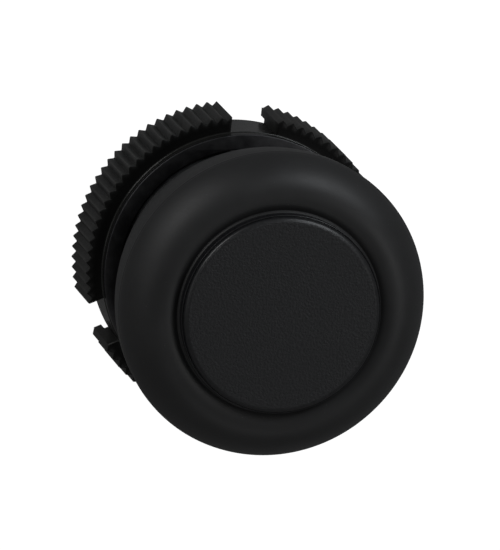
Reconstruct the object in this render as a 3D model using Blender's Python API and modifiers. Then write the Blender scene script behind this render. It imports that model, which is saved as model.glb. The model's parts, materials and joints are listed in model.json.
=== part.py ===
"""A booted industrial push button head with its serrated ring nut, for a control panel or pendant.

The frame's origin is the centre of the body sleeve's rear rim, on which the head can stand.
+Z runs along the button's axis and out of the front. +Y is the keyway's side, the top when fitted.
Lengths are in metres, written as millimetres times MM.
"""
import bmesh
import bpy
from math import asin, cos, pi, radians, sin

MM = 0.001
STEPS = 40                      # facets round a turned piece
FINE_STEPS = 56                 # facets round the boot and the press cap

# The stroke, and the planes that the fitted head is built from
STROKE = 4.5 * MM               # travel of the plunger from rest to its bumper
FACE_Z = 36.0 * MM              # front of the press cap
SEAL_Z = 21.0 * MM              # rear of the boot, which lies on the panel's gasket
CAP_RIM_Z = 34.3 * MM           # back of the press cap's rim
PLUNGER_TOP_Z = 33.2 * MM
SLEEVE_TOP_Z = 25.6 * MM
BUMPER_THICK = 1.1 * MM         # the ring that ends the stroke
GAP = 0.1 * MM                  # between flat faces that touch on the real object
SLIP = 0.3 * MM                 # between the cap screw and its hole
OVER = 1.0 * MM                 # how far a cutter runs past the face it cuts

# Boot
BOOT_RADIUS = 19.05 * MM        # at the parting line
BOOT_PART_Z = 30.0 * MM
BOOT_REAR_RADIUS = 17.35 * MM
BOOT_CREST_RADIUS = 14.3 * MM
BOOT_CREST_Z = 34.5 * MM
BOOT_SHOULDER_RADIUS = 16.95 * MM  # pulls the front's curve out from the crest
BOOT_SHOULDER_RISE = 1.2 * MM   # the side stays upright for about this height
BOOT_WALL = 1.4 * MM
BOOT_LIP_RADIUS = 12.75 * MM    # opening round the press cap
BOOT_LIP_Z = 34.0 * MM
BOOT_LIP_DEPTH = 1.6 * MM
BOOT_LIP_WALL = 1.1 * MM
BOOT_LIP_REACH = 0.3 * MM       # with the rise, the slope just outside the lip
BOOT_LIP_RISE = 0.2 * MM
BOOT_CREST_REACH = 0.8 * MM     # how far in from the crest the front stays nearly level
BOOT_CLEARANCE = 0.2 * MM       # between the boot's foot and the sleeve's flange
BOOT_SEAL_BORE = 15.15 * MM
BOOT_SEAL_THICK = 1.1 * MM
SKIRT_POINTS = 4                # points down the outside behind the parting line

# Press cap
CAP_RADIUS = 12.42 * MM
CAP_LEDGE = 0.22 * MM           # width of the ledge round the face
CAP_LEDGE_Z = 35.4 * MM
CAP_EDGE = 0.45 * MM            # rounding of the front edge
CAP_SPIGOT_RADIUS = 8.3 * MM
CAP_SPIGOT_WALL = 1.1 * MM
CAP_SPIGOT_Z = 30.5 * MM
CAP_BOSS_RADIUS = 3.6 * MM
CAP_BOSS_Z = 20.3 * MM

# Plunger
PLUNGER_FLANGE_RADIUS = 12.1 * MM
PLUNGER_FLANGE_Z = SLEEVE_TOP_Z + BUMPER_THICK + STROKE + 3 * GAP
PLUNGER_RADIUS = 10.9 * MM
PLUNGER_SKIRT_Z = 12.2 * MM
PLUNGER_POCKET_RADIUS = 9.9 * MM
PLUNGER_POCKET_Z = 17.6 * MM    # roof of the spring's pocket
PLUNGER_CUP_RADIUS = 8.6 * MM
PLUNGER_CUP_Z = 20.0 * MM
STEM_RADIUS = 5.95 * MM
STEM_BORE_RADIUS = 3.4 * MM
STEM_END_Z = 1.2 * MM
STEM_GROOVE_RADIUS = 5.1 * MM
SCREW_SEAT_Z = 14.8 * MM
SCREW_HOLE_RADIUS = 1.8 * MM

# Wiper seal in the plunger's groove
SEAL_RING_RADIUS = 10.5 * MM
SEAL_CORD_RADIUS = 0.55 * MM
SEAL_RING_Z = 23.1 * MM
SEAL_GROOVE_RADIUS = 9.7 * MM
SEAL_GROOVE_HALF = 0.8 * MM

# Cap screw
SCREW_RADIUS = 1.45 * MM
SCREW_HEAD_RADIUS = 2.9 * MM
SCREW_HEAD_HEIGHT = 2.0 * MM
SCREW_TIP_Z = 27.0 * MM

# Body sleeve: a flange in front of the panel, and a threaded neck through it
NECK_RADIUS = 14.85 * MM        # M30 x 1.5, left smooth
NECK_CHAMFER = 0.6 * MM
SLEEVE_FLANGE_RADIUS = 16.0 * MM
SLEEVE_FLANGE_REAR_Z = 22.3 * MM
SLEEVE_FLANGE_FRONT_Z = 24.6 * MM
SLEEVE_COLLAR_RADIUS = 13.4 * MM
SLEEVE_BORE_RADIUS = 11.2 * MM
REAR_BORE_RADIUS = 12.0 * MM
REAR_BORE_Z = 6.2 * MM
RING_GROOVE_RADIUS = 12.9 * MM
KEYWAY_WIDTH = 3.4 * MM
KEYWAY_FLOOR = 13.65 * MM
KEYWAY_END_Z = 20.0 * MM

# Rear guide, its retaining ring, and the clip on the plunger's stem
GUIDE_RADIUS = 11.75 * MM
GUIDE_BORE_RADIUS = 6.25 * MM
GUIDE_REAR_Z = 3.3 * MM
GUIDE_FRONT_Z = 6.0 * MM
GUIDE_SPIGOT_RADIUS = 7.2 * MM
GUIDE_SPIGOT_Z = 7.2 * MM
RING_INNER_RADIUS = 10.9 * MM
RING_OUTER_RADIUS = 12.7 * MM
RING_REAR_Z = 2.05 * MM
RING_FRONT_Z = 2.95 * MM
RING_OPENING = 5.0 * MM
CLIP_INNER_RADIUS = 5.3 * MM
CLIP_OUTER_RADIUS = 8.6 * MM
CLIP_OPENING = 6.0 * MM

# Return spring and its washer
COIL_RADIUS = 8.6 * MM
WIRE_RADIUS = 0.5 * MM
SPRING_REAR_Z = 6.75 * MM
SPRING_FRONT_Z = 17.45 * MM
SPRING_TURNS = 5.25
POINTS_PER_TURN = 16
SPRING_WASHER_INNER = 7.45 * MM
SPRING_WASHER_OUTER = 10.2 * MM
SPRING_WASHER_THICK = 0.5 * MM

# Ring nut: a smooth hub inside three serrated sectors
HUB_RADIUS = 17.2 * MM
HUB_BORE_RADIUS = 15.3 * MM
NUT_FRONT_Z = 12.5 * MM
NUT_WEB_Z = 5.2 * MM            # back of the hub and of the web that carries the sectors
RIM_REAR_Z = 3.1 * MM
RIM_INNER_RADIUS = 17.7 * MM
TOOTH_TIP_RADIUS = 19.2 * MM
TOOTH_ROOT_RADIUS = 18.65 * MM
TOOTH_FRONT_Z = 11.7 * MM       # front of the sectors, a little behind the hub's front
HUB_FRONT_RADIUS = 17.1 * MM
TEETH = 91
TOOTH_PHASE = radians(0.3)      # angle of one tooth's tip from +X
SLOT_WIDTH = 5.7 * MM
SLOT_ANGLES = (86.6, 203.0, 325.0)  # degrees from +X to each slot's centre, not quite evenly spaced

# Thrust washer in front of the nut, and the gasket behind the boot
WASHER_OUTER = 17.15 * MM
WASHER_INNER = 15.25 * MM
WASHER_REAR_Z = NUT_FRONT_Z + GAP
WASHER_THICK = 0.6 * MM
WASHER_TAB_WIDTH = 2.8 * MM
WASHER_TAB_RADIUS = 14.15 * MM
GASKET_OUTER = 16.8 * MM
GASKET_INNER = 15.15 * MM
GASKET_THICK = 0.6 * MM

# Bumper ring and bead clamp ring
BUMPER_INNER = 11.5 * MM
BUMPER_OUTER = 13.2 * MM
CLAMP_INNER = 9.7 * MM
CLAMP_OUTER = 12.0 * MM
CLAMP_THICK = 0.8 * MM

# Actuator pad in the end of the stem
PAD_RADIUS = 4.8 * MM
PAD_SPIGOT_RADIUS = 3.1 * MM
PAD_REAR_Z = 0.5 * MM
PAD_SPIGOT_Z = 5.0 * MM


def clear_scene():
    """Remove whatever objects the file opened with."""
    for obj in list(bpy.data.objects):
        bpy.data.objects.remove(obj, do_unlink=True)


def new_collection(name):
    group = bpy.data.collections.new(name)
    bpy.context.scene.collection.children.link(group)
    return group


def new_material(name, colour, roughness, metallic=0.0):
    """A Principled material of one colour."""
    material = bpy.data.materials.new(name)
    material.use_nodes = True
    shader = material.node_tree.nodes["Principled BSDF"]
    shader.inputs["Base Color"].default_value = (*colour, 1.0)
    shader.inputs["Roughness"].default_value = roughness
    shader.inputs["Metallic"].default_value = metallic
    return material


def add_mesh(name, points, edges, group, material):
    mesh = bpy.data.meshes.new(name)
    mesh.from_pydata(points, edges, [])
    obj = bpy.data.objects.new(name, mesh)
    if material:
        mesh.materials.append(material)
    group.objects.link(obj)
    return obj


def turn(name, profile, group, material, steps=STEPS):
    """Turn a profile of (radius, height) round Z. It runs clockwise, down its outer side.

    A profile that starts and ends on the axis is open, and any other is a closed loop.
    """
    points = [(radius, 0.0, height) for radius, height in profile]
    edges = [(i, i + 1) for i in range(len(points) - 1)]
    if profile[0][0] > 0:
        edges.append((len(points) - 1, 0))
    obj = add_mesh(name, points, edges, group, material)
    screw = obj.modifiers.new("turn", "SCREW")
    screw.steps = steps
    screw.render_steps = steps
    screw.use_merge_vertices = True
    screw.merge_threshold = 0.00001
    screw.use_smooth_shade = False
    return obj


def ring(inner, outer, rear, front):
    """The profile of a flat ring."""
    return [(outer, front), (outer, rear), (inner, rear), (inner, front)]


def arc(centre, radii, start, end, steps):
    """Points on an ellipse's arc, from angle start to end, in (radius, height)."""
    swept = [start + (end - start) * i / steps for i in range(steps + 1)]
    return [(centre[0] + radii[0] * cos(a), centre[1] + radii[1] * sin(a)) for a in swept]


def bezier(corners, steps):
    """Points on the cubic curve that four corners control, without the first one."""
    points = []
    for i in range(1, steps + 1):
        t = i / steps
        weights = ((1 - t) ** 3, 3 * t * (1 - t) ** 2, 3 * t * t * (1 - t), t ** 3)
        points.append(tuple(sum(w * c[k] for w, c in zip(weights, corners)) for k in range(2)))
    return points


def add_box(name, size, centre, angle, group):
    """A cutter box, turned by angle about Z after it is placed along +X."""
    bpy.ops.mesh.primitive_cube_add(size=1.0)
    box = bpy.context.active_object
    box.name = name
    for vertex in box.data.vertices:
        for axis in range(3):
            vertex.co[axis] = vertex.co[axis] * size[axis] + centre[axis]
    box.rotation_euler.z = angle
    for owner in list(box.users_collection):
        owner.objects.unlink(box)
    group.objects.link(box)
    return box


def hide_cutter(obj):
    obj.hide_render = True
    obj.display_type = "WIRE"


def add_boolean(obj, tool, operation="DIFFERENCE"):
    hide_cutter(tool)
    modifier = obj.modifiers.new(tool.name, "BOOLEAN")
    modifier.operation = operation
    modifier.object = tool
    modifier.solver = "EXACT"


def add_body_sleeve(group, cutters, material):
    profile = [
        (SLEEVE_COLLAR_RADIUS, SLEEVE_TOP_Z),
        (SLEEVE_COLLAR_RADIUS, SLEEVE_FLANGE_FRONT_Z),
        (SLEEVE_FLANGE_RADIUS, SLEEVE_FLANGE_FRONT_Z),
        (SLEEVE_FLANGE_RADIUS, SLEEVE_FLANGE_REAR_Z),
        (NECK_RADIUS, SLEEVE_FLANGE_REAR_Z),
        (NECK_RADIUS, NECK_CHAMFER),
        (NECK_RADIUS - NECK_CHAMFER, 0.0),
        (REAR_BORE_RADIUS, 0.0),
        (REAR_BORE_RADIUS, RING_REAR_Z - 2 * GAP),
        (RING_GROOVE_RADIUS, RING_REAR_Z - 2 * GAP),
        (RING_GROOVE_RADIUS, RING_FRONT_Z + 2 * GAP),
        (REAR_BORE_RADIUS, RING_FRONT_Z + 2 * GAP),
        (REAR_BORE_RADIUS, REAR_BORE_Z),
        (SLEEVE_BORE_RADIUS, REAR_BORE_Z),
        (SLEEVE_BORE_RADIUS, SLEEVE_TOP_Z),
    ]
    sleeve = turn("body_sleeve", profile, group, material)
    depth = NECK_RADIUS + OVER - KEYWAY_FLOOR
    height = KEYWAY_END_Z + OVER
    size = (depth, KEYWAY_WIDTH, height)
    centre = (KEYWAY_FLOOR + depth / 2, 0.0, KEYWAY_END_Z - height / 2)
    add_boolean(sleeve, add_box("keyway_cutter", size, centre, radians(90), cutters))


def boot_profile():
    """The boot's section: crest, outer side, seal lip, then back up the inside to the front lip."""
    crest = (BOOT_CREST_RADIUS, BOOT_CREST_Z)
    part = (BOOT_RADIUS, BOOT_PART_Z)
    outer = [crest] + bezier([crest, (BOOT_SHOULDER_RADIUS, BOOT_CREST_Z),
                              (BOOT_RADIUS, BOOT_PART_Z + BOOT_SHOULDER_RISE), part], 6)
    taper = BOOT_RADIUS - BOOT_REAR_RADIUS
    skirt_length = BOOT_PART_Z - SEAL_Z
    skirt = []
    for i in range(1, SKIRT_POINTS + 1):
        down = i / SKIRT_POINTS
        inset = taper * (1 - cos(down * pi / 2))
        skirt.append((BOOT_RADIUS - inset, BOOT_PART_Z - skirt_length * down))
    seal_top = SEAL_Z + BOOT_SEAL_THICK
    wall_foot = SLEEVE_FLANGE_RADIUS + BOOT_CLEARANCE
    roof = BOOT_CREST_Z - BOOT_WALL
    inside = BOOT_RADIUS - BOOT_WALL
    lip_rear = BOOT_LIP_Z - BOOT_LIP_DEPTH
    lip_back = BOOT_LIP_RADIUS + BOOT_LIP_WALL
    inner = bezier([(inside, BOOT_PART_Z), (inside, BOOT_PART_Z + BOOT_SHOULDER_RISE),
                    (BOOT_SHOULDER_RADIUS - BOOT_WALL, roof), (lip_back, roof)], 4)
    lip_edge = (BOOT_LIP_RADIUS, BOOT_LIP_Z)
    slope = bezier([lip_edge, (BOOT_LIP_RADIUS + BOOT_LIP_REACH, BOOT_LIP_Z + BOOT_LIP_RISE),
                    (BOOT_CREST_RADIUS - BOOT_CREST_REACH, BOOT_CREST_Z), crest], 4)
    return (
        outer + skirt
        + [(BOOT_SEAL_BORE, SEAL_Z), (BOOT_SEAL_BORE, seal_top), (wall_foot, seal_top),
           (wall_foot, SLEEVE_TOP_Z), (inside, BOOT_PART_Z)]
        + inner
        + [(lip_back, lip_rear), (BOOT_LIP_RADIUS, lip_rear), lip_edge]
        + slope[:-1]
    )


def press_cap_profile():
    hole_top = SCREW_TIP_Z + OVER
    wall = CAP_RADIUS - CAP_LEDGE
    edge = arc((wall - CAP_EDGE, FACE_Z - CAP_EDGE), (CAP_EDGE, CAP_EDGE), pi / 2, 0.0, 3)
    spigot_bore = CAP_SPIGOT_RADIUS - CAP_SPIGOT_WALL
    hole = SCREW_RADIUS + SLIP
    return (
        [(0.0, FACE_Z)] + edge
        + [(wall, CAP_LEDGE_Z), (CAP_RADIUS, CAP_LEDGE_Z), (CAP_RADIUS, CAP_RIM_Z),
           (CAP_SPIGOT_RADIUS, CAP_RIM_Z), (CAP_SPIGOT_RADIUS, CAP_SPIGOT_Z),
           (spigot_bore, CAP_SPIGOT_Z), (spigot_bore, CAP_RIM_Z),
           (CAP_BOSS_RADIUS, CAP_RIM_Z), (CAP_BOSS_RADIUS, CAP_BOSS_Z), (hole, CAP_BOSS_Z),
           (hole, hole_top), (0.0, hole_top)]
    )


def plunger_profile():
    groove_front = SEAL_RING_Z + SEAL_GROOVE_HALF
    groove_rear = SEAL_RING_Z - SEAL_GROOVE_HALF
    return [
        (PLUNGER_FLANGE_RADIUS, PLUNGER_TOP_Z),
        (PLUNGER_FLANGE_RADIUS, PLUNGER_FLANGE_Z),
        (PLUNGER_RADIUS, PLUNGER_FLANGE_Z),
        (PLUNGER_RADIUS, groove_front),
        (SEAL_GROOVE_RADIUS, groove_front),
        (SEAL_GROOVE_RADIUS, groove_rear),
        (PLUNGER_RADIUS, groove_rear),
        (PLUNGER_RADIUS, PLUNGER_SKIRT_Z),
        (PLUNGER_POCKET_RADIUS, PLUNGER_SKIRT_Z),
        (PLUNGER_POCKET_RADIUS, PLUNGER_POCKET_Z),
        (STEM_RADIUS, PLUNGER_POCKET_Z),
        (STEM_RADIUS, RING_FRONT_Z + 2 * GAP),
        (STEM_GROOVE_RADIUS, RING_FRONT_Z + 2 * GAP),
        (STEM_GROOVE_RADIUS, RING_REAR_Z - GAP),
        (STEM_RADIUS, RING_REAR_Z - GAP),
        (STEM_RADIUS, STEM_END_Z),
        (STEM_BORE_RADIUS, STEM_END_Z),
        (STEM_BORE_RADIUS, SCREW_SEAT_Z),
        (SCREW_HOLE_RADIUS, SCREW_SEAT_Z),
        (SCREW_HOLE_RADIUS, PLUNGER_CUP_Z),
        (PLUNGER_CUP_RADIUS, PLUNGER_CUP_Z),
        (PLUNGER_CUP_RADIUS, PLUNGER_TOP_Z),
    ]


def cap_screw_profile():
    head_front = SCREW_SEAT_Z - 2 * GAP
    return [
        (0.0, SCREW_TIP_Z), (SCREW_RADIUS, SCREW_TIP_Z), (SCREW_RADIUS, head_front),
        (SCREW_HEAD_RADIUS, head_front), (SCREW_HEAD_RADIUS, head_front - SCREW_HEAD_HEIGHT),
        (0.0, head_front - SCREW_HEAD_HEIGHT),
    ]


def rear_guide_profile():
    return [
        (GUIDE_SPIGOT_RADIUS, GUIDE_SPIGOT_Z), (GUIDE_SPIGOT_RADIUS, GUIDE_FRONT_Z),
        (GUIDE_RADIUS, GUIDE_FRONT_Z), (GUIDE_RADIUS, GUIDE_REAR_Z),
        (GUIDE_BORE_RADIUS, GUIDE_REAR_Z), (GUIDE_BORE_RADIUS, GUIDE_SPIGOT_Z),
    ]


def actuator_pad_profile():
    edge = 0.3 * MM
    front = STEM_END_Z - GAP
    return [
        (0.0, PAD_SPIGOT_Z), (PAD_SPIGOT_RADIUS, PAD_SPIGOT_Z), (PAD_SPIGOT_RADIUS, front),
        (PAD_RADIUS, front), (PAD_RADIUS, PAD_REAR_Z + edge), (PAD_RADIUS - edge, PAD_REAR_Z),
        (0.0, PAD_REAR_Z),
    ]


def add_split_ring(name, inner, outer, opening, angle, group, cutters, material):
    """A flat spring ring, open on one side."""
    obj = turn(name, ring(inner, outer, RING_REAR_Z, RING_FRONT_Z), group, material)
    size = (outer, opening, 4 * (RING_FRONT_Z - RING_REAR_Z))
    centre = (inner - OVER + outer / 2, 0.0, (RING_REAR_Z + RING_FRONT_Z) / 2)
    add_boolean(obj, add_box(name + "_opening", size, centre, angle, cutters))


def add_return_spring(group, material):
    """A coil whose wire starts and ends as a flat dead turn."""
    turns_flat = 0.75
    low = SPRING_REAR_Z + WIRE_RADIUS
    high = SPRING_FRONT_Z - WIRE_RADIUS
    dead_rise = 2.1 * WIRE_RADIUS * turns_flat
    count = int(SPRING_TURNS * POINTS_PER_TURN) + 1
    curve = bpy.data.curves.new("return_spring", "CURVE")
    curve.dimensions = "3D"
    curve.bevel_depth = WIRE_RADIUS
    curve.bevel_resolution = 2
    curve.use_fill_caps = True
    spline = curve.splines.new("POLY")
    spline.points.add(count - 1)
    for i, point in enumerate(spline.points):
        turn_number = i / POINTS_PER_TURN
        if turn_number < turns_flat:
            height = low + dead_rise * turn_number / turns_flat
        elif turn_number > SPRING_TURNS - turns_flat:
            height = high - dead_rise * (SPRING_TURNS - turn_number) / turns_flat
        else:
            share = (turn_number - turns_flat) / (SPRING_TURNS - 2 * turns_flat)
            height = low + dead_rise + (high - low - 2 * dead_rise) * share
        angle = 2 * pi * turn_number
        point.co = (COIL_RADIUS * cos(angle), COIL_RADIUS * sin(angle), height, 1.0)
    curve.materials.append(material)
    spring = bpy.data.objects.new("return_spring", curve)
    group.objects.link(spring)


def tooth_outline():
    """The nut's outside seen along Z: V-shaped teeth all the way round."""
    points = []
    for i in range(TEETH):
        tip = TOOTH_PHASE + 2 * pi * i / TEETH
        root = tip + pi / TEETH
        points.append((TOOTH_TIP_RADIUS * cos(tip), TOOTH_TIP_RADIUS * sin(tip)))
        points.append((TOOTH_ROOT_RADIUS * cos(root), TOOTH_ROOT_RADIUS * sin(root)))
    return points


def add_ring_nut(group, cutters, material):
    """Serrated blank with its raised hub, bored for the neck, relieved behind, and slotted."""
    curve = bpy.data.curves.new("ring_nut_blank", "CURVE")
    curve.dimensions = "2D"
    curve.fill_mode = "BOTH"
    curve.extrude = (TOOTH_FRONT_Z - RIM_REAR_Z) / 2
    spline = curve.splines.new("POLY")
    outline = tooth_outline()
    spline.points.add(len(outline) - 1)
    for point, (x, y) in zip(spline.points, outline):
        point.co = (x, y, 0.0, 1.0)
    spline.use_cyclic_u = True
    blank = bpy.data.objects.new("ring_nut_blank", curve)
    blank.location.z = (TOOTH_FRONT_Z + RIM_REAR_Z) / 2
    cutters.objects.link(blank)
    bpy.context.view_layer.update()
    evaluated = blank.evaluated_get(bpy.context.evaluated_depsgraph_get())
    mesh = bpy.data.meshes.new_from_object(evaluated)
    weld_mesh(mesh)
    mesh.materials.clear()
    mesh.materials.append(material)
    nut = bpy.data.objects.new("ring_nut", mesh)
    nut.matrix_world = blank.matrix_world
    bpy.data.objects.remove(blank, do_unlink=True)
    group.objects.link(nut)

    hub_rear = TOOTH_FRONT_Z - OVER
    hub = [(0.0, NUT_FRONT_Z), (HUB_FRONT_RADIUS, NUT_FRONT_Z), (HUB_FRONT_RADIUS, hub_rear), (0.0, hub_rear)]
    rear = RIM_REAR_Z - OVER
    bore = [(0.0, NUT_FRONT_Z + OVER), (HUB_BORE_RADIUS, NUT_FRONT_Z + OVER),
            (HUB_BORE_RADIUS, rear), (0.0, rear)]
    relief = [(0.0, NUT_WEB_Z), (RIM_INNER_RADIUS, NUT_WEB_Z), (RIM_INNER_RADIUS, rear), (0.0, rear)]
    add_boolean(nut, turn("nut_hub", hub, cutters, None, FINE_STEPS), "UNION")
    add_boolean(nut, turn("nut_bore", bore, cutters, None, FINE_STEPS))
    add_boolean(nut, turn("nut_relief", relief, cutters, None, FINE_STEPS))
    for angle in SLOT_ANGLES:
        add_slot(nut, angle, cutters)


def add_slot(nut, angle, cutters):
    """A parallel-sided slot, angle degrees round, from the outside down to the hub's surface."""
    front = NUT_FRONT_Z + OVER
    rear = RIM_REAR_Z - OVER
    half = SLOT_WIDTH / 2
    reach = TOOTH_TIP_RADIUS + OVER
    sweep = asin(half / HUB_RADIUS)
    floor = [(HUB_RADIUS * cos(a), HUB_RADIUS * sin(a))
             for a in [sweep * (1 - k / 2) for k in range(5)]]
    outline = floor + [(reach, -half), (reach, half)]
    count = len(outline)
    points = [(x, y, rear) for x, y in outline]
    edges = [(k, (k + 1) % count) for k in range(count)]
    tool = add_mesh(f"slot_at_{angle:.0f}_degrees", points, edges, cutters, None)
    fill_and_lift(tool.data, front - rear)
    tool.rotation_euler.z = radians(angle)
    add_boolean(nut, tool)


def weld_mesh(mesh):
    shape = bmesh.new()
    shape.from_mesh(mesh)
    bmesh.ops.remove_doubles(shape, verts=shape.verts, dist=0.000001)
    bmesh.ops.recalc_face_normals(shape, faces=shape.faces)
    shape.to_mesh(mesh)
    shape.free()


def fill_and_lift(mesh, height):
    """Fill a flat outline of edges and extrude it upwards into a closed prism."""
    shape = bmesh.new()
    shape.from_mesh(mesh)
    bmesh.ops.contextual_create(shape, geom=shape.edges[:])
    lifted = bmesh.ops.extrude_face_region(shape, geom=shape.faces[:], use_keep_orig=True)
    corners = [item for item in lifted["geom"] if isinstance(item, bmesh.types.BMVert)]
    bmesh.ops.translate(shape, verts=corners, vec=(0.0, 0.0, height))
    bmesh.ops.recalc_face_normals(shape, faces=shape.faces)
    shape.to_mesh(mesh)
    shape.free()


def add_nut_washer(group, cutters, material):
    """A flat ring with a tab that runs in the neck's keyway."""
    front = WASHER_REAR_Z + WASHER_THICK
    washer = turn("nut_washer", ring(WASHER_INNER, WASHER_OUTER, WASHER_REAR_Z, front),
                  group, material)
    length = (WASHER_INNER + WASHER_OUTER) / 2 - WASHER_TAB_RADIUS
    size = (length, WASHER_TAB_WIDTH, WASHER_THICK)
    centre = (WASHER_TAB_RADIUS + length / 2, 0.0, WASHER_REAR_Z + WASHER_THICK / 2)
    add_boolean(washer, add_box("washer_tab", size, centre, radians(90), cutters), "UNION")


def main():
    clear_scene()
    group = new_collection("industrial_push_button")
    cutters = new_collection("cutters")
    rubber = new_material("black_rubber", (0.022, 0.022, 0.024), 0.42)
    cap_plastic = new_material("textured_black_plastic", (0.018, 0.019, 0.021), 0.55)
    nut_plastic = new_material("black_nylon", (0.030, 0.031, 0.030), 0.38)
    grey_plastic = new_material("grey_nylon", (0.045, 0.047, 0.052), 0.45)
    guide_plastic = new_material("natural_acetal", (0.55, 0.54, 0.50), 0.40)
    seal_rubber = new_material("seal_rubber", (0.030, 0.030, 0.030), 0.60)
    steel = new_material("zinc_plated_steel", (0.56, 0.57, 0.58), 0.32, 1.0)
    dark_steel = new_material("blackened_steel", (0.045, 0.046, 0.048), 0.42, 0.6)
    spring_steel = new_material("spring_steel", (0.50, 0.50, 0.49), 0.28, 1.0)

    add_body_sleeve(group, cutters, grey_plastic)
    turn("boot", boot_profile(), group, rubber, FINE_STEPS)
    turn("panel_gasket", ring(GASKET_INNER, GASKET_OUTER, SEAL_Z - GAP - GASKET_THICK, SEAL_Z - GAP),
         group, seal_rubber)
    turn("stop_bumper", ring(BUMPER_INNER, BUMPER_OUTER, SLEEVE_TOP_Z + GAP,
                             SLEEVE_TOP_Z + GAP + BUMPER_THICK), group, seal_rubber)
    turn("rear_guide_bush", rear_guide_profile(), group, guide_plastic)
    add_split_ring("retaining_ring", RING_INNER_RADIUS, RING_OUTER_RADIUS, RING_OPENING,
                   radians(90), group, cutters, spring_steel)
    turn("spring_washer", ring(SPRING_WASHER_INNER, SPRING_WASHER_OUTER, GUIDE_FRONT_Z + GAP,
                               GUIDE_FRONT_Z + GAP + SPRING_WASHER_THICK), group, steel)
    add_return_spring(group, spring_steel)

    turn("plunger", plunger_profile(), group, guide_plastic)
    turn("press_cap", press_cap_profile(), group, cap_plastic, FINE_STEPS)
    clamp_front = CAP_RIM_Z - GAP
    turn("bead_clamp_ring", ring(CLAMP_INNER, CLAMP_OUTER, clamp_front - CLAMP_THICK, clamp_front),
         group, steel)
    turn("cap_screw", cap_screw_profile(), group, steel, 24)
    seal = arc((SEAL_RING_RADIUS, SEAL_RING_Z), (SEAL_CORD_RADIUS, SEAL_CORD_RADIUS), 0.0, -2 * pi, 8)
    turn("plunger_seal", seal[:-1], group, seal_rubber)
    add_split_ring("plunger_clip", CLIP_INNER_RADIUS, CLIP_OUTER_RADIUS, CLIP_OPENING,
                   radians(-90), group, cutters, spring_steel)
    turn("actuator_pad", actuator_pad_profile(), group, nut_plastic, 32)

    add_nut_washer(group, cutters, dark_steel)
    add_ring_nut(group, cutters, nut_plastic)


main()
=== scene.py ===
"""The looks of a booted push button head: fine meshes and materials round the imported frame."""
import json
from math import acos, asin, cos, pi, radians, sin, sqrt

import bmesh
import bpy
from mathutils import Matrix, Vector
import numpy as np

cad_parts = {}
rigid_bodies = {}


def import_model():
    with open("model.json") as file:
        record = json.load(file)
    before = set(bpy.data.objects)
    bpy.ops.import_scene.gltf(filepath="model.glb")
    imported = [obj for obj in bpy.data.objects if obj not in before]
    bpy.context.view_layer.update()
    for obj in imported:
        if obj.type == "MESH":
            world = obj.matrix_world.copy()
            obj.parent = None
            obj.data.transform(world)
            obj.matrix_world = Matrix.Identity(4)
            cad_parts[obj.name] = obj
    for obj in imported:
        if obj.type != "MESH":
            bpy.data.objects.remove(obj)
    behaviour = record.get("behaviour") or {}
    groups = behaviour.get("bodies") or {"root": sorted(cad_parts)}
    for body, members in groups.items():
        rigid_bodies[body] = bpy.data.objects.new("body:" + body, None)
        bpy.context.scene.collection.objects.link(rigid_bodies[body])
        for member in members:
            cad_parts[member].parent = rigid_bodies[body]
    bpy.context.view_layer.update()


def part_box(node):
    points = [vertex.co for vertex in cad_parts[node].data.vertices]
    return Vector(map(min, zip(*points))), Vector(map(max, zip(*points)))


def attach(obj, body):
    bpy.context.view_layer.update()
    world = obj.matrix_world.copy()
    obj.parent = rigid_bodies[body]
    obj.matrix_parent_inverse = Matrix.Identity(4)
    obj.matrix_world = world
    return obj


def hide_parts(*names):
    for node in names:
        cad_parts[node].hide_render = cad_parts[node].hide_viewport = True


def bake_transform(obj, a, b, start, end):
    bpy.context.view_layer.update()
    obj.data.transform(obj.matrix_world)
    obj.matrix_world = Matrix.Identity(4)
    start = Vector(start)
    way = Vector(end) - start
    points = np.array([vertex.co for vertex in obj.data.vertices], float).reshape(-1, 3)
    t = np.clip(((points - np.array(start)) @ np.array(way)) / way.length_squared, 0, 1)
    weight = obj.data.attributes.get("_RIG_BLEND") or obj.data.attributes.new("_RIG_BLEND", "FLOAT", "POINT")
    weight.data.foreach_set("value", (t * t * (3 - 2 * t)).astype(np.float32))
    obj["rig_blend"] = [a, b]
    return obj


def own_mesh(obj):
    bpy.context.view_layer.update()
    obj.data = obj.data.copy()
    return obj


MM = 0.001


# ---------------------------------------------------------------- sizes, all in millimetres

def node_box(node):
    """A CAD node's (largest radius, lowest z, highest z) in millimetres."""
    low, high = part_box(node)
    return high.x / MM, low.z / MM, high.z / MM


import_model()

BOOT_RADIUS, BOOT_REAR, BOOT_CREST = node_box("boot")
CAP_RADIUS, CAP_REAR, CAP_FACE = node_box("press_cap")
SLEEVE_FLANGE_RADIUS, SLEEVE_REAR, SLEEVE_FRONT = node_box("body_sleeve")
PLUNGER_FLANGE_RADIUS, STEM_REAR, PLUNGER_FRONT = node_box("plunger")
WASHER_RADIUS, WASHER_REAR, WASHER_FRONT = node_box("nut_washer")
GASKET_RADIUS, GASKET_REAR, GASKET_FRONT = node_box("panel_gasket")
BUMPER_RADIUS, BUMPER_REAR, BUMPER_FRONT = node_box("stop_bumper")
CLAMP_RADIUS, CLAMP_REAR, CLAMP_FRONT = node_box("bead_clamp_ring")
GUIDE_RADIUS, GUIDE_REAR, GUIDE_TOP = node_box("rear_guide_bush")
RING_RADIUS, RING_REAR, RING_FRONT = node_box("retaining_ring")
CLIP_RADIUS, CLIP_REAR, CLIP_FRONT = node_box("plunger_clip")
SPRING_RADIUS, SPRING_REAR, SPRING_FRONT = node_box("return_spring")
SPRING_SEAT_RADIUS, SPRING_SEAT_REAR, SPRING_SEAT_FRONT = node_box("spring_washer")
SEAL_RADIUS, SEAL_REAR, SEAL_FRONT = node_box("plunger_seal")
PAD_RADIUS, PAD_REAR, PAD_FRONT = node_box("actuator_pad")
SCREW_RADIUS, SCREW_REAR, SCREW_FRONT = node_box("cap_screw")
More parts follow.
